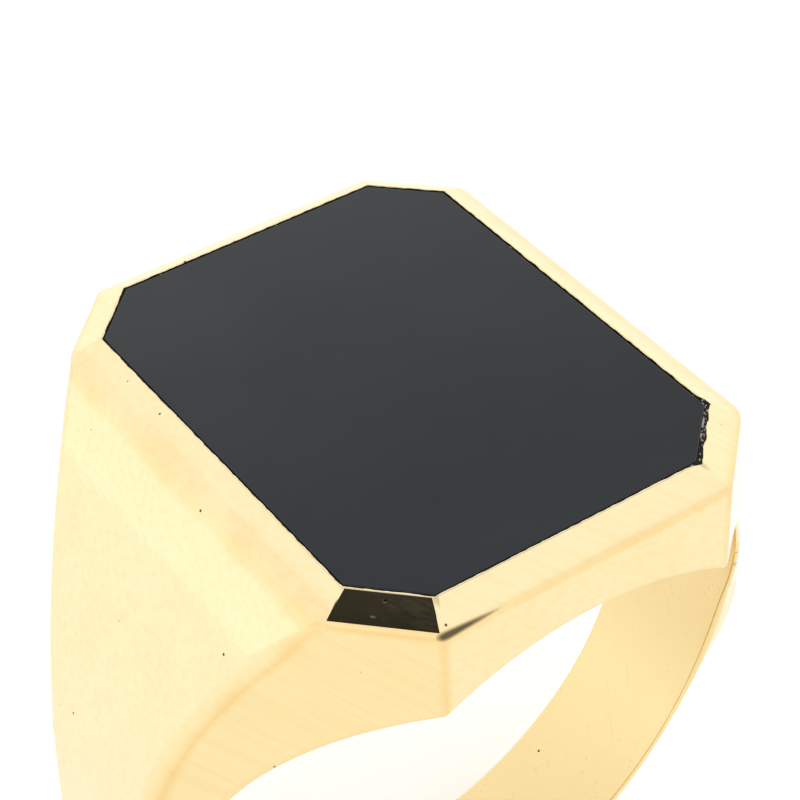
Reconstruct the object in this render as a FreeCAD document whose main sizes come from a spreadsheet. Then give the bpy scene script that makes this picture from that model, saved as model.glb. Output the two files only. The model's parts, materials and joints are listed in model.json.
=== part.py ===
"""Gents' signet ring: a cast gold shank and head with a flush onyx tablet cemented in.

Frame: millimetres, +Z up through the middle of the head, +Y along the finger,
+X from shoulder to shoulder. The origin is the centre of the finger hole.
"""
import FreeCAD, Part
import math
import os
import Sketcher

NEAR = 1e-3  # mm, how close counts as on a surface

DRIVING_SIZES = [
    # alias, value in mm, what it is
    ("stone_width", 12.0, "onyx across X, a calibrated stock size"),
    ("stone_length", 16.0, "onyx along Y, a calibrated stock size"),
    ("stone_corner", 1.68, "leg of each 45 degree corner cut of the onyx"),
    ("stone_thick", 1.3, "onyx, top to back"),
    ("stone_edge", 0.04, "polished round on the top edges of the onyx"),
    ("stone_back_bevel", 0.12, "bevel on the back edges of the onyx"),
    ("cement_gap", 0.05, "cement between the onyx and the seat wall"),
    ("cement_bed", 0.08, "cement under the onyx"),
    ("cement_sink", 0.04, "how far the cement line lies below the rim"),
    ("rim_land", 0.08, "flat land round the seat at the top of the rim"),
    ("bevel_width", 0.9, "bevel of the head, seen from above"),
    ("bevel_drop", 0.48, "bevel of the head, from land to crease"),
    ("seat_floor", 1.02, "metal between the seat and the finger hole"),
    ("bore_radius", 10.25, "finger hole"),
    ("side_wall", 1.15, "shank at its widest point"),
    ("base_wall", 1.4, "shank at its lowest point"),
    ("shank_width", 4.7, "shank along Y over its lower part"),
    ("flare_drop", 7.0, "how far below the bore centre the shank starts to widen"),
    ("ridge_round", 0.25, "polished round on the four upright ridges of the head"),
    ("overcut", 1.5, "how far the cutting outlines run past the metal"),
]

WORKED_OUT_SIZES = [
    # alias, formula, what it is
    ("stone_half_x", "=stone_width / 2", "onyx, half across X"),
    ("stone_half_y", "=stone_length / 2", "onyx, half along Y"),
    ("stone_sum", "=stone_half_x + stone_half_y - stone_corner", "|x| + |y| on its corners"),
    ("seat_half_x", "=stone_half_x + cement_gap", "seat, half across X"),
    ("seat_half_y", "=stone_half_y + cement_gap", "seat, half along Y"),
    ("seat_sum", "=stone_sum + cement_gap * sqrt(2)", "|x| + |y| on the seat's corner walls"),
    ("land_half_x", "=seat_half_x + rim_land", "land, half across X"),
    ("land_half_y", "=seat_half_y + rim_land", "land, half along Y"),
    ("land_sum", "=seat_sum + rim_land * sqrt(2)", "|x| + |y| on the land's corners"),
    ("head_half_x", "=land_half_x + bevel_width", "head, half across X"),
    ("head_half_y", "=land_half_y + bevel_width", "head, half along Y"),
    ("head_sum", "=land_sum + bevel_width * sqrt(2)", "|x| + |y| on the corner walls"),
    ("seat_deep", "=stone_thick + cement_bed", "seat, land to floor"),
    ("table_high", "=bore_radius + seat_floor + seat_deep", "land above the bore centre"),
    ("crease_high", "=table_high - bevel_drop", "head crease above the bore centre"),
    ("shank_half_x", "=bore_radius + side_wall", "shank, half across X"),
    ("shank_lower", "=base_wall - side_wall", "outer circle's centre below the bore's"),
    ("shank_half_y", "=shank_width / 2", "shank, half along Y"),
    ("flare_half_y", "=max(head_sum - bore_radius; shank_half_y)",
     "shank, half along Y at the height of the bore centre"),
    ("reach", "=max(head_half_x; head_half_y; shank_half_x) + overcut",
     "half size of the square that the cutting outlines fill"),
]


def make_sheet(doc):
    """Put every size in a spreadsheet, each under its own alias."""
    sheet = doc.addObject("Spreadsheet::Sheet", "sizes")
    rows = [(alias, str(value), note) for alias, value, note in DRIVING_SIZES]
    rows += WORKED_OUT_SIZES
    for row, (alias, content, note) in enumerate(rows, start=1):
        sheet.set(f"A{row}", alias)
        sheet.set(f"B{row}", content)
        sheet.set(f"C{row}", note)
        sheet.setAlias(f"B{row}", alias)
    doc.recompute()
    return sheet


def make_body(doc, name):
    """A body whose label is the node's name, at the ring's own origin."""
    body = doc.addObject("PartDesign::Body", name)
    body.Label = name
    body.Placement = FreeCAD.Placement()
    return body


def make_sketch(body, name, plane, height=None):
    """A sketch on one of the body's origin planes, lifted by a formula if one is given."""
    sketch = body.newObject("Sketcher::SketchObject", name)
    origin_plane = [f for f in body.Origin.OriginFeatures if f.Role == plane][0]
    sketch.AttachmentSupport = [(origin_plane, "")]
    sketch.MapMode = "FlatFace"
    if height:
        sketch.setExpression("AttachmentOffset.Base.z", height)
    return sketch


def bind(sketch, constraint, formula, name):
    """Add a dimension, name it, and tie it to the spreadsheet."""
    index = sketch.addConstraint(constraint)
    sketch.renameConstraint(index, name)
    sketch.setExpression(f"Constraints.{name}", formula)


def add_loop(sketch, points):
    """A closed loop of straight lines through the points; returns the lines' numbers."""
    first = sketch.GeometryCount
    count = len(points)
    for i in range(count):
        start = FreeCAD.Vector(*points[i], 0)
        end = FreeCAD.Vector(*points[(i + 1) % count], 0)
        sketch.addGeometry(Part.LineSegment(start, end), False)
    lines = [first + i for i in range(count)]
    for i in range(count):
        follower = lines[(i + 1) % count]
        sketch.addConstraint(Sketcher.Constraint("Coincident", lines[i], 2, follower, 1))
    return lines


def distance(axis, value, line, end):
    """The rule that holds one end of a line at a signed distance from the sketch's origin."""
    ends = (-1, 1, line, end) if value >= 0 else (line, end, -1, 1)
    return Sketcher.Constraint(f"Distance{axis}", *ends, abs(value))


def place_point(sketch, line, end, x_formula, y_formula, point, name):
    """Fix one end of a line at signed distances from the sketch's origin."""
    bind(sketch, distance("X", point[0], line, end), x_formula, f"{name}_x")
    bind(sketch, distance("Y", point[1], line, end), y_formula, f"{name}_y")


def draw_octagon(sketch, sheet, stem):
    """An octagon with 45 degree corners, from the sizes STEM_half_x, STEM_half_y, STEM_sum."""
    half_x = getattr(sheet, f"{stem}_half_x")
    half_y = getattr(sheet, f"{stem}_half_y")
    corner_x = getattr(sheet, f"{stem}_sum") - half_y
    corner_y = getattr(sheet, f"{stem}_sum") - half_x
    points = []
    for sx, sy in ((1, 1), (-1, 1), (-1, -1), (1, -1)):
        pair = [(sx * half_x, sy * corner_y), (sx * corner_x, sy * half_y)]
        points += pair if sx * sy > 0 else pair[::-1]
    lines = add_loop(sketch, points)
    for i, (x, y) in enumerate(points):
        on_side = abs(x) == half_x
        x_formula = f"sizes.{stem}_half_x" if on_side else f"sizes.{stem}_sum - sizes.{stem}_half_y"
        y_formula = f"sizes.{stem}_sum - sizes.{stem}_half_x" if on_side else f"sizes.{stem}_half_y"
        place_point(sketch, lines[i], 1, x_formula, y_formula, (x, y), f"corner{i}")


def draw_profile(sketch, sheet):
    """The ring seen along the finger: crease line, two shoulders, lower shank, finger hole."""
    top = sheet.crease_high
    side = sheet.head_half_x
    wide = sheet.shank_half_x
    low = -sheet.shank_lower
    shoulder = ((wide - side) ** 2 + (top - low) ** 2) / (2 * (wide - side))
    turn = math.asin((top - low) / shoulder)
    up = FreeCAD.Vector(0, 0, 1)
    sketch.addGeometry(
        [
            Part.LineSegment(FreeCAD.Vector(-side, top, 0), FreeCAD.Vector(side, top, 0)),
            Part.ArcOfCircle(Part.Circle(FreeCAD.Vector(wide - shoulder, low, 0), up, shoulder), 0, turn),
            Part.ArcOfCircle(Part.Circle(FreeCAD.Vector(0, low, 0), up, wide), math.pi, 2 * math.pi),
            Part.ArcOfCircle(
                Part.Circle(FreeCAD.Vector(shoulder - wide, low, 0), up, shoulder),
                math.pi - turn,
                math.pi,
            ),
            Part.Circle(FreeCAD.Vector(0, 0, 0), up, sheet.bore_radius),
        ],
        False,
    )
    crease, right, base, left, bore = range(5)
    rule = Sketcher.Constraint
    sketch.addConstraint(
        [
            rule("Coincident", crease, 2, right, 2),
            rule("Coincident", right, 1, base, 2),
            rule("Coincident", base, 1, left, 2),
            rule("Coincident", left, 1, crease, 1),
            rule("PointOnObject", base, 3, -2),
            rule("Horizontal", base, 3, base, 1),
            rule("Horizontal", base, 3, base, 2),
            rule("Horizontal", base, 3, right, 3),
            rule("Horizontal", base, 3, left, 3),
            rule("Coincident", bore, 3, -1, 1),
        ]
    )
    place_point(sketch, crease, 2, "sizes.head_half_x", "sizes.crease_high", (side, top), "crease_right")
    place_point(sketch, crease, 1, "sizes.head_half_x", "sizes.crease_high", (-side, top), "crease_left")
    bind(sketch, rule("DistanceY", base, 3, -1, 1, -low), "sizes.shank_lower", "base_centre")
    bind(sketch, rule("Radius", base, wide), "sizes.shank_half_x", "base_radius")
    bind(sketch, rule("Radius", bore, sheet.bore_radius), "sizes.bore_radius", "bore_radius")


def draw_corner_cuts(sketch, sheet):
    """Seen from above, what the corner walls and the shank's sides leave outside, four times."""
    reach = sheet.reach
    half = sheet.shank_half_y
    total = sheet.head_sum
    outline = [
        (total - reach, reach, "sizes.head_sum - sizes.reach", "sizes.reach"),
        (total - half, half, "sizes.head_sum - sizes.shank_half_y", "sizes.shank_half_y"),
        (reach, half, "sizes.reach", "sizes.shank_half_y"),
        (reach, reach, "sizes.reach", "sizes.reach"),
    ]
    for quarter, (sx, sy) in enumerate(((1, 1), (-1, 1), (-1, -1), (1, -1))):
        points = [(sx * x, sy * y) for x, y, _, _ in outline]
        lines = add_loop(sketch, points)
        for i, (_, _, x_formula, y_formula) in enumerate(outline):
            place_point(sketch, lines[i], 1, x_formula, y_formula, points[i], f"cut{quarter}_{i}")


def add_flare(sketch, sheet, side, name, inner, top):
    """The arc by which one side of the shank widens from its straight part to the corner wall."""
    half = sheet.shank_half_y
    rise = sheet.flare_half_y - half
    drop = sheet.flare_drop
    radius = (drop**2 + rise**2) / (2 * rise)
    turn = math.asin(drop / radius)
    circle = Part.Circle(FreeCAD.Vector(side * (half + radius), -drop, 0), FreeCAD.Vector(0, 0, 1), radius)
    turns = (math.pi - turn, math.pi) if side > 0 else (0, turn)
    flare = sketch.addGeometry(Part.ArcOfCircle(circle, *turns), False)
    head, foot = (1, 2) if side > 0 else (2, 1)
    rule = Sketcher.Constraint
    sketch.addConstraint(rule("Coincident", inner, 2, flare, foot))
    sketch.addConstraint(rule("Coincident", top, 1, flare, head))
    sketch.addConstraint(rule("Horizontal", flare, 3, flare, foot))
    bind(sketch, distance("Y", -drop, inner, 2), "sizes.flare_drop", f"{name}_drop")
    bind(sketch, distance("X", side * (half + rise), top, 1), "sizes.flare_half_y", f"{name}_flare")


def draw_side_cuts(sketch, sheet):
    """Seen along X, what lies outside the lower half of the shank, once on each side."""
    half = sheet.shank_half_y
    reach = sheet.reach
    flared = sheet.flare_half_y > half + NEAR
    drop = sheet.flare_drop if flared else 0
    rule = Sketcher.Constraint
    for side, name in ((1, "right"), (-1, "left")):
        points = [(sheet.flare_half_y, 0), (reach, 0), (reach, -reach), (half, -reach), (half, -drop)]
        ends = [FreeCAD.Vector(side * across, up, 0) for across, up in points]
        lines = [
            sketch.addGeometry(Part.LineSegment(start, end), False) for start, end in zip(ends, ends[1:])
        ]
        top, outer, bottom, inner = lines
        for line, following in zip(lines, lines[1:]):
            sketch.addConstraint(rule("Coincident", line, 2, following, 1))
        for line in (top, bottom):
            sketch.addConstraint(rule("Horizontal", line))
        for line in (outer, inner):
            sketch.addConstraint(rule("Vertical", line))
        sketch.addConstraint(rule("PointOnObject", top, 1, -1))
        bind(sketch, distance("X", side * reach, outer, 2), "sizes.reach", f"{name}_out")
        bind(sketch, distance("Y", -reach, outer, 2), "sizes.reach", f"{name}_down")
        bind(sketch, distance("X", side * half, inner, 1), "sizes.shank_half_y", f"{name}_half")
        if flared:
            add_flare(sketch, sheet, side, name, inner, top)
        else:
            sketch.addConstraint(rule("Coincident", inner, 2, top, 1))


def cut_right_through(body, sketch, name):
    """A pocket through everything on both sides of the sketch; it has to remove metal."""
    before = body.Shape.Volume
    pocket = body.newObject("PartDesign::Pocket", name)
    pocket.Profile = sketch
    pocket.Type = "ThroughAll"
    pocket.Midplane = True
    body.Document.recompute()
    if body.Shape.Volume >= before:
        raise RuntimeError(f"{name} removed nothing")
    return pocket


def sink_pocket(body, sketch, depth, name):
    """A pocket down from the sketch's plane by a formula; it has to remove metal."""
    before = body.Shape.Volume
    pocket = body.newObject("PartDesign::Pocket", name)
    pocket.Profile = sketch
    pocket.setExpression("Length", depth)
    body.Document.recompute()
    if body.Shape.Volume >= before:
        raise RuntimeError(f"{name} removed nothing")
    return pocket


def soften_edges(body, kind, name, size, wanted):
    """Fillet or chamfer the edges that the test picks; size is a property and its formula."""
    base = body.Tip
    names = [f"Edge{i}" for i, edge in enumerate(base.Shape.Edges, start=1) if wanted(edge)]
    softening = body.newObject(kind, name)
    softening.Base = (base, names)
    softening.setExpression(*size)
    body.Document.recompute()


def is_head_ridge(edge, sheet):
    """True for an upright edge between two walls of the head."""
    box = edge.BoundBox
    upright = max(box.XLength, box.YLength) < NEAR
    return upright and abs(abs(box.YMax) - sheet.head_half_y) < NEAR


def is_level(edge, height):
    """True for an edge that lies flat at a height."""
    return all(abs(vertex.Z - height) < NEAR for vertex in edge.Vertexes)


def make_ring_body(doc, sheet):
    """The casting: shank, shoulders and head in one, with the seat for the onyx."""
    body = make_body(doc, "ring_body")

    profile = make_sketch(body, "ring_profile", "XZ_Plane")
    draw_profile(profile, sheet)
    blank = body.newObject("PartDesign::Pad", "blank")
    blank.Profile = profile
    blank.Midplane = True
    blank.setExpression("Length", "sizes.head_half_y * 2")
    doc.recompute()

    corners = make_sketch(body, "corner_cuts", "XY_Plane")
    draw_corner_cuts(corners, sheet)
    cut_right_through(body, corners, "corner_walls")

    sides = make_sketch(body, "side_cuts", "YZ_Plane")
    draw_side_cuts(sides, sheet)
    cut_right_through(body, sides, "shank_sides")

    crease = make_sketch(body, "crease_outline", "XY_Plane", "sizes.crease_high")
    draw_octagon(crease, sheet, "head")
    bevel = body.newObject("PartDesign::Pad", "head_bevel")
    bevel.Profile = crease
    bevel.setExpression("Length", "sizes.bevel_drop")
    bevel.setExpression("TaperAngle", "-atan(sizes.bevel_width / sizes.bevel_drop)")
    doc.recompute()

    seat = make_sketch(body, "seat_outline", "XY_Plane", "sizes.table_high")
    draw_octagon(seat, sheet, "seat")
    sink_pocket(body, seat, "sizes.seat_deep", "stone_seat")

    soften_edges(
        body,
        "PartDesign::Fillet",
        "polished_ridges",
        ("Radius", "sizes.ridge_round"),
        lambda edge: is_head_ridge(edge, sheet),
    )
    return body


def make_onyx_tablet(doc, sheet):
    """The onyx: a flat octagonal tablet, flush with the rim."""
    body = make_body(doc, "onyx_tablet")
    outline = make_sketch(body, "tablet_outline", "XY_Plane", "sizes.table_high")
    draw_octagon(outline, sheet, "stone")
    slab = body.newObject("PartDesign::Pad", "tablet")
    slab.Profile = outline
    slab.Reversed = True
    slab.setExpression("Length", "sizes.stone_thick")
    doc.recompute()
    soften_edges(
        body,
        "PartDesign::Fillet",
        "polished_rim",
        ("Radius", "sizes.stone_edge"),
        lambda edge: is_level(edge, sheet.table_high),
    )
    soften_edges(
        body,
        "PartDesign::Chamfer",
        "back_bevel",
        ("Size", "sizes.stone_back_bevel"),
        lambda edge: is_level(edge, sheet.table_high - sheet.stone_thick),
    )
    return body


def make_setting_cement(doc, sheet):
    """The cement: a thin tray that beds the onyx and fills the line round it."""
    body = make_body(doc, "setting_cement")
    outer = make_sketch(body, "cement_outline", "XY_Plane", "sizes.table_high - sizes.cement_sink")
    draw_octagon(outer, sheet, "seat")
    tray = body.newObject("PartDesign::Pad", "tray")
    tray.Profile = outer
    tray.Reversed = True
    tray.setExpression("Length", "sizes.seat_deep - sizes.cement_sink")
    doc.recompute()
    inner = make_sketch(body, "stone_outline", "XY_Plane", "sizes.table_high - sizes.cement_sink")
    draw_octagon(inner, sheet, "stone")
    sink_pocket(body, inner, "sizes.stone_thick - sizes.cement_sink", "stone_bed")
    soften_edges(
        body,
        "PartDesign::Chamfer",
        "fill_under_bevel",
        ("Size", "sizes.stone_back_bevel"),
        lambda edge: is_level(edge, sheet.table_high - sheet.stone_thick),
    )
    return body


def check_document(doc, bodies):
    """Stop if any object failed or any sub-part isn't one valid solid."""
    for item in doc.Objects:
        if "Invalid" in item.State or "Error" in item.State:
            raise RuntimeError(f"{item.Name} is {item.State}")
    for body in bodies:
        shape = body.Shape
        if shape.isNull() or not shape.isValid() or len(shape.Solids) != 1:
            raise RuntimeError(f"{body.Label} is not one valid solid")


def main():
    """Build the document, check it, and write each sub-part."""
    doc = FreeCAD.newDocument("signet_ring")
    sheet = make_sheet(doc)
    bodies = [
        make_ring_body(doc, sheet),
        make_onyx_tablet(doc, sheet),
        make_setting_cement(doc, sheet),
    ]
    doc.recompute()
    check_document(doc, bodies)
    os.makedirs("parts", exist_ok=True)
    for body in bodies:
        body.Shape.exportStep(f"parts/{body.Label}.step")
        print(f"{body.Label}: {body.Shape.Volume:.2f} mm3, {len(body.Shape.Faces)} faces")


main()
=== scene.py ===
"""Gents' signet ring: the looks of the casting, the onyx tablet and its cement line.

Metres, in the ring's own frame: the origin is the centre of the finger hole,
+Z goes up through the head, +Y along the finger and +X from shoulder to shoulder.
"""
import json
import logging
import math
from dataclasses import dataclass, field
from enum import Enum
from typing import Callable, Sequence

import bmesh
import bpy
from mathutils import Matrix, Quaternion, Vector


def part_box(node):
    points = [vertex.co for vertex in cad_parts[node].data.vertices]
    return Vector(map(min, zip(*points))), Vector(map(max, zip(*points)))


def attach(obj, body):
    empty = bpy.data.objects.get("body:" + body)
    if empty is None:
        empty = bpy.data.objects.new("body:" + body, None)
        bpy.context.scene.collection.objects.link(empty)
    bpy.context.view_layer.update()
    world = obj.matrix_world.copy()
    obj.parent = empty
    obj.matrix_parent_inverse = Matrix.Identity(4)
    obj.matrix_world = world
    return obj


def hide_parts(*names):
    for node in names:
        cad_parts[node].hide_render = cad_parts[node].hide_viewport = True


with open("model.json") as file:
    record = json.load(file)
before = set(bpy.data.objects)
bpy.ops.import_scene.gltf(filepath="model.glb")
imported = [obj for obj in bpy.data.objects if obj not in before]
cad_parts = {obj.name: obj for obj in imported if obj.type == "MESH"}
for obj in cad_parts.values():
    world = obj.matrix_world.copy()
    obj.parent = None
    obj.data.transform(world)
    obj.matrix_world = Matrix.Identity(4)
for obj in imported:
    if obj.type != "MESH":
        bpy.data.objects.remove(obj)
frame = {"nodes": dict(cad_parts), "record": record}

MM = 0.001
NEAR = 0.002 * MM
ON_PLANE = 0.01 * NEAR
CREASED = math.radians(14)
LOG = logging.getLogger("signet_ring")
Edge = bmesh.types.BMEdge
Face = bmesh.types.BMFace
Node = bpy.types.Node
Socket = bpy.types.NodeSocket


# ---------------------------------------------------------------- bench tools


class Kind(Enum):
    """What a selection on the bench is made of."""

    VERT = "verts"
    EDGE = "edges"
    FACE = "faces"


def take(piece: bpy.types.Object) -> None:
    """Deselect everything and make one piece the selected, active one.

    Args:
        piece: The object that the next operators act on.
    """
    if bpy.context.mode != "OBJECT":
        bpy.ops.object.mode_set(mode="OBJECT")
    bpy.ops.object.select_all(action="DESELECT")
    piece.select_set(True)
    bpy.context.view_layer.objects.active = piece


def edit(piece: bpy.types.Object) -> None:
    """Open a piece in edit mode with nothing selected."""
    take(piece)
    bpy.ops.object.mode_set(mode="EDIT")
    bpy.ops.mesh.select_mode(type="VERT")
    bpy.ops.mesh.select_all(action="DESELECT")


def close() -> None:
    """Leave edit mode."""
    bpy.ops.object.mode_set(mode="OBJECT")


def pick(piece: bpy.types.Object, kind: Kind, wanted: Callable[..., bool]) -> None:
    """Select what the test accepts, and nothing else.

    Args:
        piece: The object that is open in edit mode.
        kind: Vertices, edges or faces.
        wanted: The test that each of them is put to.
    """
    bpy.ops.mesh.select_mode(type=kind.name)
    bpy.ops.mesh.select_all(action="DESELECT")
    mesh = bmesh.from_edit_mesh(piece.data)
    mesh.normal_update()
    chosen = [item for item in getattr(mesh, kind.value) if wanted(item)]
    for item in chosen:
        item.select_set(True)
    bmesh.update_edit_mesh(piece.data)


def bisect(
    point: Sequence[float], normal: Sequence[float], fill: bool = False, drop: bool = True
) -> None:
    """Cut the whole open piece by a plane.

    Args:
        point: A point of the plane.
        normal: The side that is dropped.
        fill: Whether the cut is closed with a face.
        drop: Whether that side is dropped, or the faces are only divided.
    """
    bpy.ops.mesh.select_all(action="SELECT")
    bpy.ops.mesh.bisect(
        plane_co=point, plane_no=normal, use_fill=fill, clear_outer=drop, threshold=ON_PLANE
    )


def name_piece(piece: bpy.types.Object, name: str) -> bpy.types.Object:
    """Give a piece and its mesh one name.

    Returns:
        The same piece.
    """
    piece.name = name
    piece.data.name = name
    return piece


def carve(piece: bpy.types.Object, cutter: bpy.types.Object) -> None:
    """Take a cutter's shape out of a piece and throw the cutter away.

    Args:
        piece: What is cut.
        cutter: A closed solid.
    """
    take(piece)
    cut = piece.modifiers.new("cut", "BOOLEAN")
    cut.operation = "DIFFERENCE"
    cut.solver = "EXACT"
    cut.object = cutter
    bpy.ops.object.modifier_apply(modifier=cut.name)
    bpy.data.objects.remove(cutter, do_unlink=True)


def settle(piece: bpy.types.Object) -> None:
    """Put a piece's object at the origin, unturned and unscaled, with its place in its mesh."""
    take(piece)
    bpy.ops.object.transform_apply(location=True, rotation=True, scale=True)


# ------------------------------------------------------------------- material


def add(tree: bpy.types.NodeTree, kind: str, **settings: object) -> Node:
    """Add a shader node and set its properties and inputs.

    Args:
        tree: The node tree.
        kind: The node's type name without the ShaderNode prefix.
        settings: Properties by name, or inputs by name with spaces as underscores.

    Returns:
        The new node.
    """
    node = tree.nodes.new(f"ShaderNode{kind}")
    for name, value in settings.items():
        if hasattr(node, name) and name not in ("inputs", "outputs"):
            setattr(node, name, value)
        else:
            node.inputs[name.replace("_", " ")].default_value = value
    return node


def join(tree: bpy.types.NodeTree, source: Socket, target: Socket) -> None:
    """Link two sockets."""
    tree.links.new(source, target)


def remap(
    tree: bpy.types.NodeTree, value: Socket, low: float, high: float, start: float, end: float
) -> Socket:
    """Map a value's range from low..high to start..end, held at both ends.

    Returns:
        The mapped value.
    """
    node = add(tree, "MapRange")
    for name, number in (("From Min", low), ("From Max", high), ("To Min", start), ("To Max", end)):
        node.inputs[name].default_value = number
    join(tree, value, node.inputs["Value"])
    return node.outputs["Result"]


def math_node(tree: bpy.types.NodeTree, operation: str, *values: object) -> Socket:
    """One arithmetic step on sockets or numbers.

    Returns:
        The result.
    """
    node = add(tree, "Math", operation=operation)
    for socket, value in zip(node.inputs, values):
        if isinstance(value, (int, float)):
            socket.default_value = value
        else:
            join(tree, value, socket)
    return node.outputs["Value"]


def measure(tree: bpy.types.NodeTree, first: Socket, second: Socket) -> Socket:
    """The length of a step, from its sizes along two axes.

    Returns:
        The length.
    """
    squares = [math_node(tree, "MULTIPLY", value, value) for value in (first, second)]
    return math_node(tree, "SQRT", math_node(tree, "ADD", *squares))


def add_noise(tree: bpy.types.NodeTree, place: Socket, **settings: float) -> Socket:
    """A noise read at a place.

    Args:
        tree: The node tree.
        place: The point that the pattern reads.
        settings: The noise's inputs by name.

    Returns:
        Its value, around a half.
    """
    noise = add(tree, "TexNoise", **settings)
    join(tree, place, noise.inputs["Vector"])
    return noise.outputs["Fac"]


def enlarge(tree: bpy.types.NodeTree, place: Socket, scale: Socket) -> Socket:
    """Multiply a place by a number.

    Returns:
        The new place.
    """
    size = add(tree, "VectorMath", operation="SCALE")
    join(tree, place, size.inputs[0])
    join(tree, scale, size.inputs["Scale"])
    return size.outputs["Vector"]


def add_bump(
    tree: bpy.types.NodeTree,
    height: Socket,
    strength: float,
    depth: float,
    over: Socket | None = None,
    sunk: bool = False,
) -> Socket:
    """Bump a surface by a height.

    Args:
        tree: The material's tree.
        height: The height, from 0 to 1.
        strength: How strong the bump is.
        depth: How deep a height of 1 is, in metres.
        over: A coarser bump that this one goes over.
        sunk: Whether the height goes inward.

    Returns:
        The bumped normal.
    """
    bump = add(tree, "Bump", Strength=strength, Distance=depth, invert=sunk)
    join(tree, height, bump.inputs["Height"])
    if over is not None:
        join(tree, over, bump.inputs["Normal"])
    return bump.outputs["Normal"]


def blend_colour(tree: bpy.types.NodeTree, factor: Socket, first: object, second: object) -> Socket:
    """Mix two colours, each a socket or a plain colour, by a factor.

    Returns:
        The mixed colour.
    """
    node = add(tree, "Mix", data_type="RGBA")
    join(tree, factor, node.inputs["Factor"])
    for socket, value in ((node.inputs[6], first), (node.inputs[7], second)):
        if isinstance(value, tuple):
            socket.default_value = (*value, 1.0)
        else:
            join(tree, value, socket)
    return node.outputs[2]


def new_group(name: str, inputs: dict[str, float], outputs: Sequence[str]) -> bpy.types.NodeTree:
    """A shader group with float inputs and outputs, and a Position input in front.

    Args:
        name: The group's name.
        inputs: Each input's name and default.
        outputs: Each output's name.

    Returns:
        The group's empty tree, with its two end nodes named in and out.
    """
    tree = bpy.data.node_groups.new(name, "ShaderNodeTree")
    tree.interface.new_socket("Position", in_out="INPUT", socket_type="NodeSocketVector")
    for label, default in inputs.items():
        socket = tree.interface.new_socket(label, in_out="INPUT", socket_type="NodeSocketFloat")
        socket.default_value = default
    for label in outputs:
        tree.interface.new_socket(label, in_out="OUTPUT", socket_type="NodeSocketFloat")
    tree.nodes.new("NodeGroupInput").name = "in"
    tree.nodes.new("NodeGroupOutput").name = "out"
    return tree


def place_group(
    tree: bpy.types.NodeTree, group: bpy.types.NodeTree, position: Socket, **values: float
) -> Node:
    """Place a group in a material with its own values.

    Args:
        tree: The material's tree.
        group: The shared group.
        position: The point of the piece that the pattern reads.
        values: Inputs by name, with spaces as underscores.

    Returns:
        The group's node.
    """
    node = tree.nodes.new("ShaderNodeGroup")
    node.node_tree = group
    join(tree, position, node.inputs["Position"])
    for name, value in values.items():
        node.inputs[name.replace("_", " ")].default_value = value
    return node


def build_scratch_group() -> bpy.types.NodeTree:
    """Hairline scratches in two crossing directions, over the faint grain of a mop's strokes.

    Returns:
        The group, with outputs Mask (1 in a scratch), Height (0 in a scratch) and Grain.
    """
    outputs = ("Mask", "Height", "Grain")
    tree = new_group("hairline_scratches", {"Scale": 1.0, "Turn": 0.0, "Amount": 0.5}, outputs)
    source, sink = tree.nodes["in"], tree.nodes["out"]
    masks = []
    across_strokes, along_strokes = 5200.0, 260.0
    for lean in (0.0, 1.1):
        angle = math_node(tree, "ADD", source.outputs["Turn"], lean)
        turn = add(tree, "VectorRotate", rotation_type="AXIS_ANGLE", Axis=(0.0, -0.61, 0.79))
        join(tree, source.outputs["Position"], turn.inputs["Vector"])
        join(tree, angle, turn.inputs["Angle"])
        stretch = add(tree, "VectorMath", operation="MULTIPLY")
        stretch.inputs[1].default_value = (along_strokes, across_strokes, across_strokes)
        join(tree, turn.outputs["Vector"], stretch.inputs[0])
        size = enlarge(tree, stretch.outputs["Vector"], source.outputs["Scale"])
        strokes = add_noise(tree, size, Scale=1.0, Detail=1.0, Roughness=0.4, Distortion=0.15)
        masks.append(remap(tree, strokes, 0.70, 0.78, 0.0, 1.0))
        if lean == 0.0:
            join(tree, strokes, sink.inputs["Grain"])
    both = math_node(tree, "MAXIMUM", *masks)
    mask = math_node(tree, "MULTIPLY", both, source.outputs["Amount"])
    join(tree, mask, sink.inputs["Mask"])
    join(tree, math_node(tree, "SUBTRACT", 1.0, mask), sink.inputs["Height"])
    return tree


def build_wave_group() -> bpy.types.NodeTree:
    """The slow unevenness of a surface polished by hand.

    Returns:
        The group, with output Height.
    """
    tree = new_group("hand_polish", {"Scale": 1.0}, ("Height",))
    source, sink = tree.nodes["in"], tree.nodes["out"]
    size = enlarge(tree, source.outputs["Position"], source.outputs["Scale"])
    waves = add_noise(tree, size, Scale=300.0, Detail=2.0, Roughness=0.4)
    join(tree, waves, sink.inputs["Height"])
    return tree


def build_pit_group() -> bpy.types.NodeTree:
    """Sparse pin-prick pits and specks.

    Returns:
        The group, with output Mask (1 in a pit).
    """
    tree = new_group("pin_pits", {"Scale": 1.0, "Size": 0.1, "Share": 0.2}, ("Mask",))
    source, sink = tree.nodes["in"], tree.nodes["out"]
    size = enlarge(tree, source.outputs["Position"], source.outputs["Scale"])
    cells = add(tree, "TexVoronoi", Scale=1000.0, Randomness=1.0)
    join(tree, size, cells.inputs["Vector"])
    chosen = add(tree, "SeparateColor")
    join(tree, cells.outputs["Color"], chosen.inputs["Color"])
    kept = math_node(tree, "LESS_THAN", chosen.outputs["Red"], source.outputs["Share"])
    reach = math_node(tree, "MULTIPLY", source.outputs["Size"], chosen.outputs["Green"])
    near = math_node(tree, "LESS_THAN", cells.outputs["Distance"], reach)
    join(tree, math_node(tree, "MULTIPLY", kept, near), sink.inputs["Mask"])
    return tree


@dataclass(frozen=True)
class SharedEffects:
    """The surface effects that more than one finish uses."""

    scratches: bpy.types.NodeTree
    waves: bpy.types.NodeTree
    pits: bpy.types.NodeTree

    @staticmethod
    def build() -> "SharedEffects":
        """Build each effect once."""
        return SharedEffects(build_scratch_group(), build_wave_group(), build_pit_group())


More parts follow.
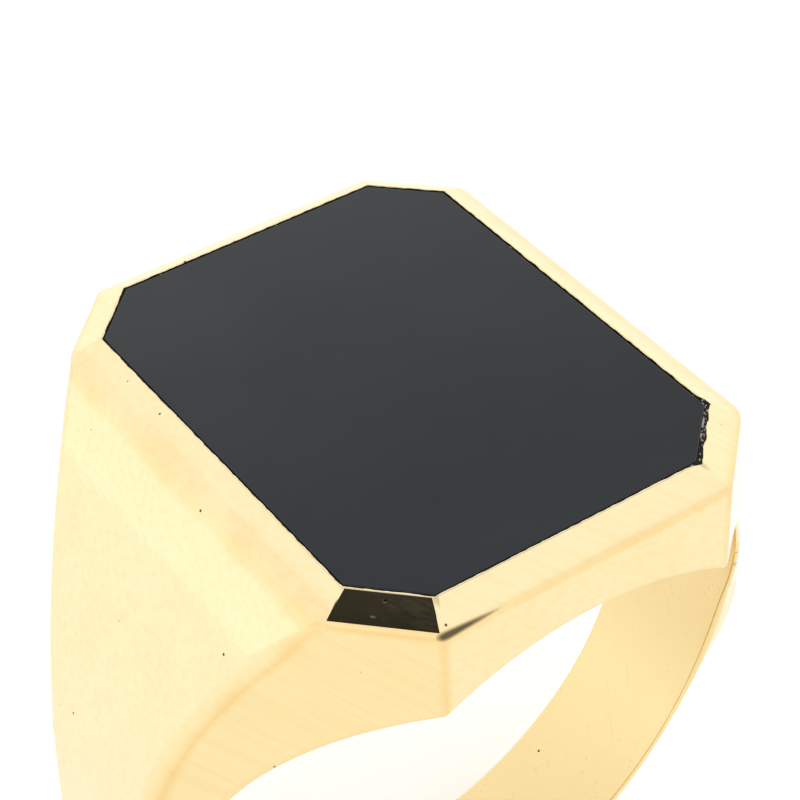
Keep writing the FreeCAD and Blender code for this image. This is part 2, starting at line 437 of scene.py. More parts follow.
def new_material(name: str) -> tuple[bpy.types.Material, bpy.types.NodeTree, Node, Socket]:
    """A material with a Principled shader and the piece's own coordinates.

    Returns:
        The material, its tree, its shader and the Object coordinate socket.
    """
    material = bpy.data.materials.new(name)
    material.use_nodes = True
    tree = material.node_tree
    shader = next(node for node in tree.nodes if node.type == "BSDF_PRINCIPLED")
    place = add(tree, "TexCoord")
    return material, tree, shader, place.outputs["Object"]


@dataclass(frozen=True)
class PolishedGold:
    """Yellow gold off a polishing mop, worn a little.

    A browner line is painted along the creases, and a dark line into the start of one long crease:
    painted shade and a painted reflection, standing in for darker reflections there. The walls are
    painted a deeper tone for the same reason. There is grime and pale residue beside the stone, and
    the finger hole is deeper in tone and duller than the outside. The insets are how far inside the
    sharp outline the rounded creases run, near the head and lower down.
    """

    bright: tuple[float, float, float] = (0.97, 0.81, 0.49)
    deep: tuple[float, float, float] = (0.89, 0.70, 0.355)
    crease: tuple[float, float, float] = (0.86, 0.58, 0.22)
    # Painted shade: the browner tone painted along the creases, standing in for their darker
    # reflections.
    polish: tuple[float, float, float] = (0.05, 0.043, 0.022)
    # Painted reflection: the dark tone painted into the start of one long crease.
    pit: tuple[float, float, float] = (0.16, 0.10, 0.05)
    grime: tuple[float, float, float] = (0.012, 0.011, 0.008)
    residue: tuple[float, float, float] = (0.55, 0.53, 0.47)
    roughness: float = 0.045
    dull: float = 0.24
    rubbed: float = 0.18
    caked: float = 0.6
    tail_length: float = 2.2 * MM
    stain_depth: float = 0.3 * MM
    bevel_inset: float = 0.1 * MM
    shoulder_inset: tuple[float, float] = (0.05 * MM, 0.27 * MM)
    # Width and strength of the painted shade along the creases.
    crease_shade_width: tuple[float, float] = (0.14 * MM, 0.23 * MM)
    crease_shade_strength: tuple[float, float] = (0.45, 0.8)
    # Painted shade: the corner walls and long walls get a deeper tone, standing in for the darker
    # reflections they catch.
    wall_shade_width: float = 0.3 * MM
    corner_wall_shade: float = 0.7
    flat_wall_shade: float = 0.3

    def build(self, effects: SharedEffects, shape: "Casting") -> bpy.types.Material:
        """Make the material.

        Args:
            effects: The shared groups.
            shape: The casting, whose sizes place the creases, the seam and the finger hole.

        Returns:
            The gold.
        """
        gold, tree, shader, place = new_material("polished_gold")
        scratches = place_group(tree, effects.scratches, place, Scale=1.0, Turn=0.9, Amount=0.55)
        waves = place_group(tree, effects.waves, place, Scale=1.0)
        pits = place_group(tree, effects.pits, place, Scale=2.2, Size=0.13, Share=0.16)
        split = add(tree, "SeparateXYZ")
        join(tree, place, split.inputs["Vector"])
        x, y, z = (split.outputs[axis] for axis in "XYZ")

        cloud = add_noise(tree, place, Scale=420.0, Detail=4.0, Roughness=0.6)
        tone = remap(tree, cloud, 0.40, 0.72, 0.0, 0.16)
        grain = remap(tree, scratches.outputs["Grain"], 0.42, 0.66, 0.0, 0.26)
        inside = self.find_bore(tree, shape, x, z)
        # Painted shade: a browner line along the creases and a deeper tone on the walls.
        line, wall_shade = self.find_painted_shade(tree, shape, (x, y, z), cloud)
        strokes = math_node(tree, "ADD", tone, grain)
        places = math_node(tree, "ADD", math_node(tree, "MULTIPLY", inside, 1.1), wall_shade)
        depth = math_node(tree, "MINIMUM", math_node(tree, "ADD", strokes, places), 1.15)
        metal = blend_colour(tree, depth, self.bright, self.deep)
        # Painted shade: the browner line along the creases is mixed in here.
        crease_shaded = blend_colour(tree, line, metal, self.crease)
        # Painted reflection: the dark line at the start of one long crease is mixed in here.
        dark_tail_painted = blend_colour(tree, self.find_tail_reflection(tree, shape, (x, y, z)), crease_shaded, self.polish)
        pitted = blend_colour(tree, pits.outputs["Mask"], dark_tail_painted, self.pit)
        dirty, crumbs = self.find_seam(tree, shape, (x, y, z), place)
        soiled = blend_colour(tree, dirty, pitted, self.grime)
        join(tree, blend_colour(tree, crumbs, soiled, self.residue), shader.inputs["Base Color"])
        join(tree, math_node(tree, "SUBTRACT", 1.0, dirty), shader.inputs["Metallic"])

        dulled = math_node(tree, "MULTIPLY", scratches.outputs["Mask"], self.dull)
        cloudy = remap(tree, cloud, 0.3, 0.7, self.roughness, self.roughness + 0.05)
        rubbed = math_node(tree, "MULTIPLY", inside, self.rubbed)
        worn = math_node(tree, "ADD", math_node(tree, "ADD", dulled, cloudy), rubbed)
        caked = math_node(tree, "MULTIPLY", dirty, self.caked)
        join(tree, math_node(tree, "MAXIMUM", worn, caked), shader.inputs["Roughness"])

        soft = add_bump(tree, waves.outputs["Height"], 0.35, 0.02 * MM)
        fine = add_bump(tree, scratches.outputs["Height"], 0.25, 0.004 * MM, soft)
        combed = add_bump(tree, scratches.outputs["Grain"], 0.3, 0.006 * MM, fine)
        pricked = add_bump(tree, pits.outputs["Mask"], 0.6, 0.02 * MM, combed, sunk=True)
        join(tree, pricked, shader.inputs["Normal"])
        shader.inputs["Specular IOR Level"].default_value = 0.1
        return gold

    @staticmethod
    def find_bore(tree: bpy.types.NodeTree, shape: "Casting", x: Socket, z: Socket) -> Socket:
        """Where the surface belongs to the finger hole.

        Args:
            tree: The material's tree.
            shape: The casting.
            x: The point's place across the finger.
            z: The point's height.

        Returns:
            1 in the finger hole and 0 outside it.
        """
        out = measure(tree, x, z)
        return remap(tree, out, shape.bore + 0.05 * MM, shape.bore + 0.25 * MM, 1.0, 0.0)

    def find_tail_reflection(
        self, tree: bpy.types.NodeTree, shape: "Casting", point: tuple[Socket, Socket, Socket]
    ) -> Socket:
        """A dark line painted into the start of one long crease, tapering away from its corner: a
        painted reflection of darker surroundings.

        Args:
            tree: The material's tree.
            shape: The casting.
            point: The point's three coordinates.

        Returns:
            How much of the painted dark line there is.
        """
        aside = math_node(tree, "ADD", point[1], shape.half_y)
        above = math_node(tree, "SUBTRACT", point[2], shape.crease)
        off = measure(tree, aside, above)
        corner = shape.half_y - shape.total
        left = remap(tree, point[0], corner, corner + self.tail_length, 1.0, 0.0)
        width = remap(tree, left, 0.0, 1.0, 0.05 * MM, 0.17 * MM)
        share = remap(tree, math_node(tree, "DIVIDE", off, width), 0.6, 1.15, 0.9, 0.0)
        return math_node(tree, "MULTIPLY", share, remap(tree, left, 0.0, 0.3, 0.0, 1.0))

    def find_painted_shade(
        self,
        tree: bpy.types.NodeTree,
        shape: "Casting",
        point: tuple[Socket, Socket, Socket],
        cloud: Socket,
    ) -> tuple[Socket, Socket]:
        """Where shade is painted: a browner line close to two outer surfaces at once, and a deeper
        tone on the walls.

        Args:
            tree: The material's tree.
            shape: The casting.
            point: The point's three coordinates.
            cloud: A noise that makes the line uneven.

        Returns:
            How much painted shade there is along the creases (0 away from them), and how much painted
            shade there is on the walls.
        """
        x, y = (math_node(tree, "ABSOLUTE", value) for value in point[:2])
        z = point[2]
        diagonal = math_node(tree, "SUBTRACT", shape.total, math_node(tree, "ADD", x, y))
        corner = math_node(tree, "MULTIPLY", diagonal, math.sqrt(0.5))
        wall = math_node(tree, "SUBTRACT", shape.half_y, y)
        end = math_node(tree, "SUBTRACT", shape.half_x, x)
        above = math_node(tree, "SUBTRACT", shape.crease, z)
        slope = math.hypot(shape.bevel_width, shape.bevel_drop)
        nearest = math_node(tree, "MINIMUM", corner, math_node(tree, "MINIMUM", wall, end))
        sideways = math_node(tree, "MULTIPLY", nearest, shape.bevel_drop / slope)
        upward = math_node(tree, "MULTIPLY", above, shape.bevel_width / slope)
        level = math_node(tree, "ADD", sideways, upward)
        bevel = math_node(tree, "ABSOLUTE", math_node(tree, "SUBTRACT", level, self.bevel_inset))
        across = math_node(tree, "ADD", x, shape.shoulder_radius - shape.wide)
        up = math_node(tree, "SUBTRACT", z, shape.low)
        reach = measure(tree, across, up)
        rounding = remap(tree, above, 0.1 * MM, 1.6 * MM, *self.shoulder_inset)
        inward = math_node(tree, "SUBTRACT", shape.shoulder_radius, reach)
        shoulder = math_node(tree, "ABSOLUTE", math_node(tree, "SUBTRACT", inward, rounding))
        pairs = ((corner, wall), (bevel, shoulder))
        lows = [math_node(tree, "MINIMUM", *pair) for pair in pairs]
        highs = [math_node(tree, "MAXIMUM", *pair) for pair in pairs]
        second = math_node(
            tree, "MINIMUM", math_node(tree, "MAXIMUM", *lows), math_node(tree, "MINIMUM", *highs)
        )
        # Painted shade: a browner line along the creases, standing in for the darker reflections they
        # catch.
        width = remap(tree, cloud, 0.35, 0.65, *self.crease_shade_width)
        share = math_node(tree, "DIVIDE", second, width)
        line = remap(tree, share, 0.0, 1.0, 1.0, 0.0)
        strength = remap(tree, cloud, 0.3, 0.7, *self.crease_shade_strength)
        # Painted shade: a deeper tone on the corner walls and long walls, for their darker
        # reflections.
        wall_shade = math_node(
            tree,
            "MAXIMUM",
            remap(tree, corner, 0.0, self.wall_shade_width, self.corner_wall_shade, 0.0),
            remap(tree, wall, 0.0, self.wall_shade_width, self.flat_wall_shade, 0.0),
        )
        return math_node(tree, "MULTIPLY", math_node(tree, "POWER", line, 1.5), strength), wall_shade

    def find_seam(
        self,
        tree: bpy.types.NodeTree,
        shape: "Casting",
        point: tuple[Socket, Socket, Socket],
        place: Socket,
    ) -> tuple[Socket, Socket]:
        """Grime on the gold's edge beside the stone, thick round one corner with residue in it.

        Args:
            tree: The material's tree.
            shape: The casting.
            point: The point's three coordinates.
            place: The point itself.

        Returns:
            Where the grime is and where the pale residue is.
        """
        x, y = (math_node(tree, "ABSOLUTE", value) for value in point[:2])
        rim = shape.land + shape.bevel_width
        seat_sum = shape.total - rim * math.sqrt(2)
        end = math_node(tree, "SUBTRACT", x, shape.half_x - rim)
        wall = math_node(tree, "SUBTRACT", y, shape.half_y - rim)
        slant = math_node(tree, "SUBTRACT", math_node(tree, "ADD", x, y), seat_sum)
        corner = math_node(tree, "MULTIPLY", slant, math.sqrt(0.5))
        below = math_node(tree, "SUBTRACT", shape.table - self.stain_depth, point[2])
        beside = math_node(tree, "MAXIMUM", corner, math_node(tree, "MAXIMUM", end, wall))
        off = math_node(tree, "MAXIMUM", beside, below)
        ragged = add_noise(tree, place, Scale=2600.0, Detail=2.0, Roughness=0.5)
        lean = math_node(tree, "SUBTRACT", point[0], point[1])
        thick = remap(tree, lean, seat_sum - 0.5 * MM, seat_sum - 0.1 * MM, 0.0, 1.0)
        thin_line = remap(tree, ragged, 0.40, 0.7, 0.0, 0.03 * MM)
        broad_line = remap(tree, ragged, 0.3, 0.7, 0.06 * MM, 0.13 * MM)
        line = math_node(tree, "MAXIMUM", thin_line, math_node(tree, "MULTIPLY", thick, broad_line))
        dirty = math_node(tree, "LESS_THAN", off, line)
        grit = add_noise(tree, place, Scale=7500.0, Detail=3.0, Roughness=0.7)
        bits = remap(tree, grit, 0.55, 0.60, 0.0, 1.0)
        close_by = remap(tree, off, 0.02 * MM, 0.09 * MM, 1.0, 0.0)
        crumbs = math_node(tree, "MULTIPLY", math_node(tree, "MULTIPLY", bits, thick), close_by)
        return dirty, crumbs


@dataclass(frozen=True)
class PolishedOnyx:
    """Black onyx with a glass polish, faint ripples and a few light specks."""

    black: tuple[float, float, float] = (0.0014, 0.0044, 0.0068)
    grey: tuple[float, float, float] = (0.0072, 0.0112, 0.0150)
    speck: tuple[float, float, float] = (0.22, 0.21, 0.19)
    refraction: float = 1.5
    roughness: float = 0.06
    dull: float = 0.12

    def build(self, effects: SharedEffects) -> bpy.types.Material:
        """Make the material.

        Args:
            effects: The shared groups.

        Returns:
            The onyx.
        """
        onyx, tree, shader, place = new_material("polished_onyx")
        scratches = place_group(tree, effects.scratches, place, Scale=0.8, Turn=2.1, Amount=0.35)
        waves = place_group(tree, effects.waves, place, Scale=1.6)
        specks = place_group(tree, effects.pits, place, Scale=1.1, Size=0.035, Share=0.05)
        cloud = add_noise(tree, place, Scale=160.0, Detail=5.0, Roughness=0.6, Distortion=0.4)
        tone = remap(tree, cloud, 0.4, 0.75, 0.0, 1.0)
        stone = blend_colour(tree, tone, self.black, self.grey)
        speckled = blend_colour(tree, specks.outputs["Mask"], stone, self.speck)
        join(tree, speckled, shader.inputs["Base Color"])
        dulled = math_node(tree, "MULTIPLY", scratches.outputs["Mask"], self.dull)
        join(tree, math_node(tree, "ADD", dulled, self.roughness), shader.inputs["Roughness"])
        soft = add_bump(tree, waves.outputs["Height"], 0.25, 0.006 * MM)
        fine = add_bump(tree, scratches.outputs["Height"], 0.12, 0.002 * MM, soft)
        join(tree, fine, shader.inputs["Normal"])
        shader.inputs["IOR"].default_value = self.refraction
        return onyx


@dataclass(frozen=True)
class SeamCement:
    """Old epoxy in the line round the stone: mostly grimed dark, pale where it squeezed out."""

    grime: tuple[float, float, float] = (0.016, 0.013, 0.010)
    pale: tuple[float, float, float] = (0.62, 0.58, 0.50)
    corner_sum: float = 12.3 * MM

    def build(self, effects: SharedEffects) -> bpy.types.Material:
        """Make the material.

        Args:
            effects: The shared groups.

        Returns:
            The cement.
        """
        cement, tree, shader, place = new_material("seam_cement")
        waves = place_group(tree, effects.waves, place, Scale=4.0)
        lumps = add_noise(tree, place, Scale=1500.0, Detail=4.0, Roughness=0.65)
        split = add(tree, "SeparateXYZ")
        join(tree, place, split.inputs["Vector"])
        lean = math_node(tree, "SUBTRACT", split.outputs["X"], split.outputs["Y"])
        squeezed = remap(tree, lean, self.corner_sum - 0.6 * MM, self.corner_sum, 0.0, 0.09)
        risen = math_node(tree, "ADD", lumps, squeezed)
        crumbs = remap(tree, risen, 0.63, 0.68, 0.0, 1.0)
        colour = blend_colour(tree, crumbs, self.grime, self.pale)
        join(tree, colour, shader.inputs["Base Color"])
        join(tree, remap(tree, lumps, 0.3, 0.7, 0.35, 0.75), shader.inputs["Roughness"])
        bump = add_bump(tree, waves.outputs["Height"], 0.5, 0.01 * MM)
        join(tree, bump, shader.inputs["Normal"])
        shader.inputs["Specular IOR Level"].default_value = 0.15
        return cement


# ----------------------------------------------------------------- the pieces


@dataclass
class Casting:
    """The gold casting: shank, shoulders and head, cut and polished from one block.

    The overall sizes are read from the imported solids; the others are its maker's.
    pinched is half the rim's width level with the finger's axis, and pinch_height is how far
    above the axis the corner walls begin to draw in towards it. side_turn and dome_turn are the
    angles below the axis over which the shank narrows and domes. The rounds are in metres, and
    the two reaches are how far the round of a shoulder's long edge spreads from it.
    """

    corner_leg: float = 1.68 * MM
    cement_gap: float = 0.05 * MM
    land: float = 0.08 * MM
    bevel_width: float = 0.9 * MM
    bevel_drop: float = 0.48 * MM
    side_wall: float = 1.15 * MM
    shank_width: float = 4.7 * MM
    pinched: float = 3.01 * MM
    pinch_height: float = 3.4 * MM
    pinch_steps: int = 12
    side_turn: float = math.radians(14)
    dome_turn: float = math.radians(35)
    widest_round: float = 0.7 * MM
    end_round: float = 0.7 * MM
    wall_round: float = 0.4 * MM
    corner_round: float = 0.2 * MM
    bevel_round: float = 0.55 * MM
    ridge_round: float = 0.38 * MM
    rim_round: float = 0.24 * MM
    shoulder_round: float = 0.9 * MM
    shoulder_reach: float = 0.38 * MM
    shank_reach: float = 0.3 * MM
    steps_per_turn: int = 360
    outer_cuts: int = 9
    side_cuts: int = 2
    round_steps: int = 6
    bore: float = field(init=False)
    half_x: float = field(init=False)
    half_y: float = field(init=False)
    table: float = field(init=False)
    seat_floor: float = field(init=False)
    wide: float = field(init=False)
    low: float = field(init=False)
    total: float = field(init=False)

    def __post_init__(self) -> None:
        """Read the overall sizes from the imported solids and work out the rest."""
        mounts = {mount["name"]: mount for mount in frame["record"]["mounts"]}
        self.bore = mounts["finger_bore"]["dims"]["r_mm"] * MM
        bottom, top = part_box("ring_body")
        cement_bottom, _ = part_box("setting_cement")
        _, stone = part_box("onyx_tablet")
        rim = self.cement_gap + self.land + self.bevel_width
        self.half_x = stone.x + rim
        self.half_y = top.y
        self.table = top.z
        self.seat_floor = cement_bottom.z
        self.wide = self.bore + self.side_wall
        self.low = bottom.z + self.wide
        self.total = stone.x + stone.y - self.corner_leg + rim * math.sqrt(2)

    @property
    def crease(self) -> float:
        """Height of the crease under the bevel."""
        return self.table - self.bevel_drop

    @property
    def shoulder_radius(self) -> float:
        """Radius of the shoulder's curve, from the shank's widest point to the crease."""
        across = self.wide - self.half_x
        up = self.crease - self.low
        return (across**2 + up**2) / (2 * across)

    def draw_arc(
        self,
        centre: Sequence[float],
        radius: float,
        dropped: Sequence[tuple[Sequence[float], Sequence[float]]],
    ) -> bpy.types.Object:
        """One stretch of the outline: a circle with what lies beyond some planes dropped.

        Args:
            centre: The circle's centre.
            radius: Its radius.
            dropped: A point and a normal for each plane.

        Returns:
            The open arc.
        """
        bpy.ops.object.select_all(action="DESELECT")
        bpy.ops.mesh.primitive_circle_add(
            vertices=self.steps_per_turn,
            radius=radius,
            location=centre,
            rotation=(math.radians(90), 0, 0),
        )
        arc = bpy.context.object
        settle(arc)
        edit(arc)
        for point, normal in dropped:
            bisect(point, normal)
        close()
        return arc

    def cast_block(self) -> bpy.types.Object:
        """The outline seen along the finger, pushed through to the head's full length.

        Returns:
            A closed block without the finger hole.
        """
        up, down = (0, 0, 1), (0, 0, -1)
        end = -self.half_y
        widest = (0, end, self.low)
        arcs = [self.draw_arc(widest, self.wide, [(widest, up)])]
        for side in (1, -1):
            centre = (side * (self.wide - self.shoulder_radius), end, self.low)
            beyond = [(widest, down), (widest, (-side, 0, 0)), ((0, 0, self.crease), up)]
            arcs.append(self.draw_arc(centre, self.shoulder_radius, beyond))
        bpy.ops.object.select_all(action="DESELECT")
        for arc in arcs:
            arc.select_set(True)
        bpy.context.view_layer.objects.active = arcs[0]
        bpy.ops.object.join()
        block = name_piece(bpy.context.object, "gold_casting")
        edit(block)
        bpy.ops.mesh.select_all(action="SELECT")
        bpy.ops.mesh.remove_doubles(threshold=NEAR)
        pick(block, Kind.VERT, lambda vert: vert.co.z > self.crease - NEAR)
        bpy.ops.mesh.edge_face_add()
        bpy.ops.mesh.select_all(action="SELECT")
        bpy.ops.mesh.edge_face_add()
        bpy.ops.mesh.extrude_region_move(
            TRANSFORM_OT_translate={"value": (0, 2 * self.half_y, 0)}
        )
        bpy.ops.mesh.select_all(action="SELECT")
        bpy.ops.mesh.normals_make_consistent(inside=False)
        close()
        return block

    def drill(self, block: bpy.types.Object) -> None:
        """Cut the finger hole."""
        bpy.ops.object.select_all(action="DESELECT")
        bpy.ops.mesh.primitive_cylinder_add(
            vertices=self.steps_per_turn,
            radius=self.bore,
            depth=3 * self.half_y,
            rotation=(math.radians(90), 0, 0),
        )
        drill = bpy.context.object
        settle(drill)
        carve(block, drill)

    def cut_corners(self, block: bpy.types.Object) -> None:
        """Saw the four corner walls that run from the head down the shoulders."""
        edit(block)
        for side_x in (1, -1):
            for side_y in (1, -1):
                bisect((side_x * self.total, 0, 0), (side_x, side_y, 0), fill=True)
        close()

    def wrap_shank(self, block: bpy.types.Object) -> None:
        """Sweep the shank's section under the finger, from the shoulders' form to a dome.

        The lower ends of the corner walls are divided into levels and drawn in to meet it.
        """

        def is_cut(edge: Edge, outside: bool) -> bool:
            first, last = (abs(vert.co.x) for vert in edge.verts)
            if not edge.is_boundary or max(first, last) <= self.bore + NEAR:
                return False
            return (abs(first - last) < NEAR) == outside

        edit(block)
        bisect((0, 0, 0), (0, 0, -1))
        for outside, cuts in ((True, self.outer_cuts), (False, self.side_cuts)):
            pick(block, Kind.EDGE, lambda edge: is_cut(edge, outside))
            bpy.ops.mesh.subdivide(number_cuts=cuts)
        pick(block, Kind.EDGE, lambda edge: edge.is_boundary and edge.verts[0].co.x > 0)
        bpy.ops.mesh.spin(
            steps=self.steps_per_turn // 2, angle=math.pi, center=(0, 0, 0), axis=(0, -1, 0)
        )
        bpy.ops.mesh.select_all(action="SELECT")
        bpy.ops.mesh.remove_doubles(threshold=NEAR)
        bpy.ops.mesh.normals_make_consistent(inside=False)
        for step in range(1, self.pinch_steps + 1):
            bisect((0, 0, self.pinch_height * step / self.pinch_steps), (0, 0, 1), drop=False)
        close()
        for vert in block.data.vertices:
            if vert.co.z < self.pinch_height:
                vert.co = self.shape_section(vert.co) if vert.co.z < -NEAR else self.pinch(vert.co)

    def pinch(self, point: Vector) -> Vector:
        """Where a point of the shoulders' lower end belongs, drawn in at the finger hole.

        Args:
            point: A point at or a little above the finger's axis.

        Returns:
            The same point, nearer the middle of the ring's length if it is on the finger hole.
        """
        inward = 1 - (math.hypot(point.x, point.z) - self.bore) / (self.wide - self.bore)
        fade = (1 - max(point.z, 0.0) / self.pinch_height) ** 2
        shift = (self.total - self.bore - self.pinched) * fade * min(max(inward, 0.0), 1.0)
        return Vector((point.x, point.y - math.copysign(shift, point.y), point.z))

    def shape_section(self, point: Vector) -> Vector:
        """Where a point of the plainly swept section belongs on the finished shank.

        Args:
            point: A point of the section, below the finger's axis.

        Returns:
            The same point on the narrowed and domed section at its own place round the finger.
        """
        out = math.hypot(point.x, point.z)
        across, up = point.x / out, point.z / out
        below = math.asin(min(-up, 1.0))
        flare = self.total - self.bore
        half = self.shank_width / 2
        width = half + (self.pinched - half) * math.exp(-below / self.side_turn)
        place = point.y / flare
        level = math.sqrt(self.wide**2 - self.low**2)
        full = self.low * up + math.sqrt(self.wide**2 - (self.low * across) ** 2)
        share = min(below / self.dome_turn, 1.0)
        domed = share * share * (3 - 2 * share)
        height = (out - self.bore) / (level - self.bore)
        flat = point.y - math.copysign((flare - width) * (1 - height), point.y)
        rise = (1 - domed) * height + domed * (1 - place**2)
        out = self.bore + (full - self.bore) * min(max(rise, 0.0), 1.0)
        return Vector((across * out, (1 - domed) * flat + domed * place * width, up * out))

    def raise_rim(self, block: bpy.types.Object) -> None:
        """Raise the bevel and its land from the head, and sink the seat for the stone."""
        edit(block)

        def is_top(face: Face) -> bool:
            return face.normal.z > 0.99 and face.calc_center_median().z > self.crease - NEAR

        pick(block, Kind.FACE, is_top)
        bpy.ops.mesh.dissolve_faces()
        bpy.ops.mesh.inset(thickness=self.bevel_width, depth=self.bevel_drop, use_even_offset=True)
        bpy.ops.mesh.inset(thickness=self.land, depth=0, use_even_offset=True)
        bpy.ops.mesh.extrude_region_move(
            TRANSFORM_OT_translate={"value": (0, 0, self.seat_floor - self.table)}
        )
        close()

    def merge_strips(self, block: bpy.types.Object) -> None:
        """Merge the narrow strips that a round would run over: under the crease, by the ridges."""
        foot = self.total - self.half_y
        clear = 0.7 * MM

        def is_crowded(edge: Edge) -> bool:
            first, last = (vert.co for vert in edge.verts)
            if abs(first.x - last.x) + abs(first.z - last.z) > NEAR:
                return False
            if self.crease - clear < first.z < self.crease - NEAR:
                return True
            on_bore = math.hypot(first.x, first.z) < self.bore + NEAR
            return on_bore and first.z > 0 and abs(abs(first.x) - foot) < clear / 3

        edit(block)
        pick(block, Kind.EDGE, is_crowded)
        bpy.ops.mesh.dissolve_edges(use_verts=True)
        close()

    def find_round(self, edge: Edge) -> float:
        """The radius that a polishing mop leaves on an edge.

        Args:
            edge: An edge of the casting.

        Returns:
            The radius, or 0 for an edge that stays as it is.
        """
        if not edge.is_manifold or edge.calc_face_angle(0.0) < CREASED:
            return 0.0
        points = [vert.co for vert in edge.verts]
        if all(math.hypot(point.x, point.z) < self.bore + 5 * NEAR for point in points):
            return self.rim_round
        under_land = all(point.z < self.table - NEAR for point in points)
        seat_x = self.half_x - self.bevel_width
        seat_y = self.half_y - self.bevel_width
        in_seat = all(abs(point.x) < seat_x and abs(point.y) < seat_y for point in points)
        above_bore = all(point.z > self.bore for point in points)
        on_land = all(point.z > self.table - NEAR for point in points)
        if on_land or (under_land and in_seat and above_bore):
            return 0.0
        if all(abs(point.z - self.crease) < NEAR for point in points):
            if all(abs(point.x) > self.half_x - NEAR for point in points):
                return self.end_round
            on_wall = all(abs(point.y) > self.half_y - NEAR for point in points)
            return self.wall_round if on_wall else self.corner_round
        if max(point.z for point in points) > self.crease + NEAR:
            return self.bevel_round
        if max(abs(point.y) for point in points) > self.half_y - NEAR:
            return self.ridge_round
        return self.shoulder_round

    def weigh(self, edge: Edge) -> float:
        """How far a round reaches from its edge, as a share of the widest round.

        Args:
            edge: An edge of the casting.

        Returns:
            The share. A shoulder's long edge has one reach down to the finger's axis, so that
            the round stays even along the flat wall beside it.
        """
        if not edge.is_manifold:
            return 0.0
        radius = self.find_round(edge)
        if radius == self.rim_round:
            reach = radius
        elif radius == self.shoulder_round:
            height = min(vert.co.z for vert in edge.verts)
            reach = self.shoulder_reach if height > -NEAR else self.shank_reach
        else:
            reach = radius * math.tan(edge.calc_face_angle(0.0) / 2)
        return min(reach / self.widest_round, 1.0)

    def polish(self, block: bpy.types.Object) -> None:
        """Round every crease as a polishing mop does, and smooth the surfaces between."""
        edit(block)
        bpy.ops.mesh.select_all(action="SELECT")
        bpy.ops.mesh.remove_doubles(threshold=NEAR * 0.5)
        bpy.ops.mesh.select_all(action="SELECT")
        bpy.ops.mesh.dissolve_degenerate(threshold=NEAR * 0.5)
        close()
        mesh = bmesh.new()
        mesh.from_mesh(block.data)
        mesh.normal_update()
        layer = mesh.edges.layers.float.new("bevel_weight_edge")
        for edge in mesh.edges:
            edge[layer] = self.weigh(edge)
            edge.smooth = edge[layer] > 0 or edge.calc_face_angle(0.0) < CREASED
        mesh.to_mesh(block.data)
        mesh.free()
        take(block)
        round_off = block.modifiers.new("round_off", "BEVEL")
        round_off.limit_method = "WEIGHT"
        round_off.width = self.widest_round
        round_off.segments = self.round_steps
        round_off.use_clamp_overlap = False
        round_off.harden_normals = False
        bpy.ops.object.modifier_apply(modifier=round_off.name)
        bpy.ops.object.shade_smooth()
        even = block.modifiers.new("even", "WEIGHTED_NORMAL")
        even.mode = "FACE_AREA"
        even.weight = 100
        even.keep_sharp = True
        bpy.ops.object.modifier_apply(modifier=even.name)

    def build(self, gold: bpy.types.Material) -> bpy.types.Object:
        """Make the casting and dress it.

        Args:
            gold: Its finish.

        Returns:
            The casting, riding on the ring's only body.
        """
        block = self.cast_block()
        self.drill(block)
        self.cut_corners(block)
        self.wrap_shank(block)
        self.merge_strips(block)
        self.raise_rim(block)
        self.polish(block)
        block.data.materials.clear()
        block.data.materials.append(gold)
        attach(block, "root")
        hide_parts("ring_body")
        return block


def dress(node: str, finish: bpy.types.Material) -> bpy.types.Object:
    """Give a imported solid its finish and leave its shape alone.

    Args:
        node: The solid's name.
        finish: The material for all its slots.

    Returns:
        The solid's object.
    """
    piece = frame["nodes"][node]
    for slot in piece.material_slots:
        slot.material = finish
    return piece


# ----------------------------------------------------------------- the studio


@dataclass(frozen=True)
class Patch:
    """A soft-edged round patch of the light tent that is darker than its cloth.

    inner and outer are in degrees from its middle, level is its brightness as a share of the
    cloth's, and mottle is how much brighter its spots are.
    """

    toward: tuple[float, float, float]
    inner: float
    outer: float
    level: float
    mottle: float = 0.0

    def lay(self, tree: bpy.types.NodeTree, way: Socket, cloth: Socket) -> Socket:
        """Darken the tent's brightness inside the patch.

        Args:
            tree: The world's tree.
            way: The direction looked in.
            cloth: The brightness so far.

        Returns:
            The brightness with the patch in it.
        """
        toward = add(tree, "VectorMath", operation="DOT_PRODUCT")
        join(tree, way, toward.inputs[0])
        toward.inputs[1].default_value = Vector(self.toward).normalized()
        cosines = (math.cos(math.radians(self.outer)), math.cos(math.radians(self.inner)))
        share = remap(tree, toward.outputs["Value"], *cosines, 0.0, 1.0)
        spots = add_noise(tree, way, Scale=105.0, Detail=2.0, Roughness=0.6)
        level = remap(tree, spots, 0.40, 0.75, self.level, self.level + self.mottle)
        drop = math_node(tree, "MULTIPLY", share, math_node(tree, "SUBTRACT", 1.0, level))
        return math_node(tree, "MULTIPLY", cloth, math_node(tree, "SUBTRACT", 1.0, drop))


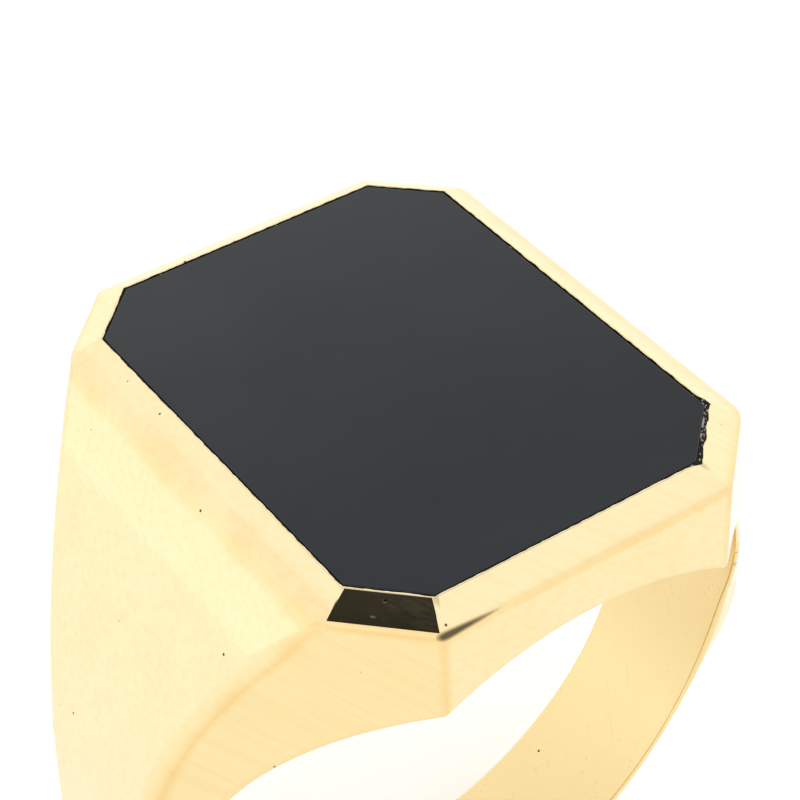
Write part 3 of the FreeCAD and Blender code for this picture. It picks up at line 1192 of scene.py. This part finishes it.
@dataclass(frozen=True)
class Studio:
    """A pale floor, a white tent that is brighter low down, with darker patches, and the camera."""

    brightness: float = 1.21
    overhead: float = 0.90
    floor_glow: float = 0.16
    patches: tuple[Patch, ...] = (
        Patch(toward=(-0.226, 0.004, 0.971), inner=12.0, outer=15.5, level=0.004, mottle=0.09),
        Patch(toward=(0.40, 0.38, 0.83), inner=17.0, outer=27.0, level=0.68),
        Patch(toward=(0.41, -0.88, 0.10), inner=14.0, outer=34.0, level=0.92),
    )
    lens: float = 114.83
    stand: tuple[float, float, float] = (-30.03 * MM, -47.02 * MM, 58.69 * MM)
    aim: tuple[float, float, float] = (-0.67 * MM, -1.09 * MM, 12.65 * MM)
    roll: float = -2.69

    def lay_floor(self) -> None:
        """A plain pale floor under the ring's lowest point, with a little light of its own."""
        low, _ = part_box("ring_body")
        bpy.ops.object.select_all(action="DESELECT")
        bpy.ops.mesh.primitive_plane_add(size=4.0, location=(0, 0, low.z))
        floor = name_piece(bpy.context.object, "studio_floor")
        paper, tree, shader, _ = new_material("floor_paper")
        shader.inputs["Base Color"].default_value = (0.96, 0.96, 0.96, 1.0)
        shader.inputs["Roughness"].default_value = 0.9
        shader.inputs["Emission Color"].default_value = (1.0, 1.0, 1.0, 1.0)
        shader.inputs["Emission Strength"].default_value = self.floor_glow
        floor.data.materials.append(paper)

    def light(self) -> None:
        """White light from all round, with the tent's darker patches in it."""
        world = bpy.data.worlds.new("light_tent")
        bpy.context.scene.world = world
        world.use_nodes = True
        tree = world.node_tree
        background = next(node for node in tree.nodes if node.type == "BACKGROUND")
        way = add(tree, "TexCoord").outputs["Generated"]
        split = add(tree, "SeparateXYZ")
        join(tree, way, split.inputs["Vector"])
        cloth = remap(tree, split.outputs["Z"], 0.0, 0.66, 1.0, self.overhead)
        for patch in self.patches:
            cloth = patch.lay(tree, way, cloth)
        join(tree, math_node(tree, "MULTIPLY", cloth, self.brightness), background.inputs["Strength"])
        background.inputs["Color"].default_value = (1.0, 1.0, 1.0, 1.0)
        bpy.context.scene.view_settings.view_transform = "Standard"

    def set_camera(self) -> None:
        """Stand the camera over the near corner, looking down at the head."""
        data = bpy.data.cameras.new("camera")
        data.lens = self.lens
        data.clip_start = MM
        camera = bpy.data.objects.new("camera", data)
        bpy.context.scene.collection.objects.link(camera)
        camera.location = self.stand
        ahead = Vector(self.aim) - Vector(self.stand)
        level = ahead.to_track_quat("-Z", "Y")
        camera.rotation_euler = (level @ Quaternion((0, 0, 1), math.radians(self.roll))).to_euler()
        bpy.context.scene.camera = camera

    def build(self) -> None:
        """Set the studio up."""
        self.lay_floor()
        self.light()
        self.set_camera()


def main() -> None:
    """Build and dress every piece, then the studio."""
    logging.basicConfig(level=logging.INFO, format="%(name)s: %(message)s")
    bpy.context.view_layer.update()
    Studio().build()
    effects = SharedEffects.build()
    shape = Casting()
    casting = shape.build(PolishedGold().build(effects, shape))
    LOG.info("%s: %d faces", casting.name, len(casting.data.polygons))
    tablet = dress("onyx_tablet", PolishedOnyx().build(effects))
    LOG.info("%s: dressed", tablet.name)
    cement = dress("setting_cement", SeamCement().build(effects))
    LOG.info("%s: dressed", cement.name)


if __name__ == "__main__":
    main()
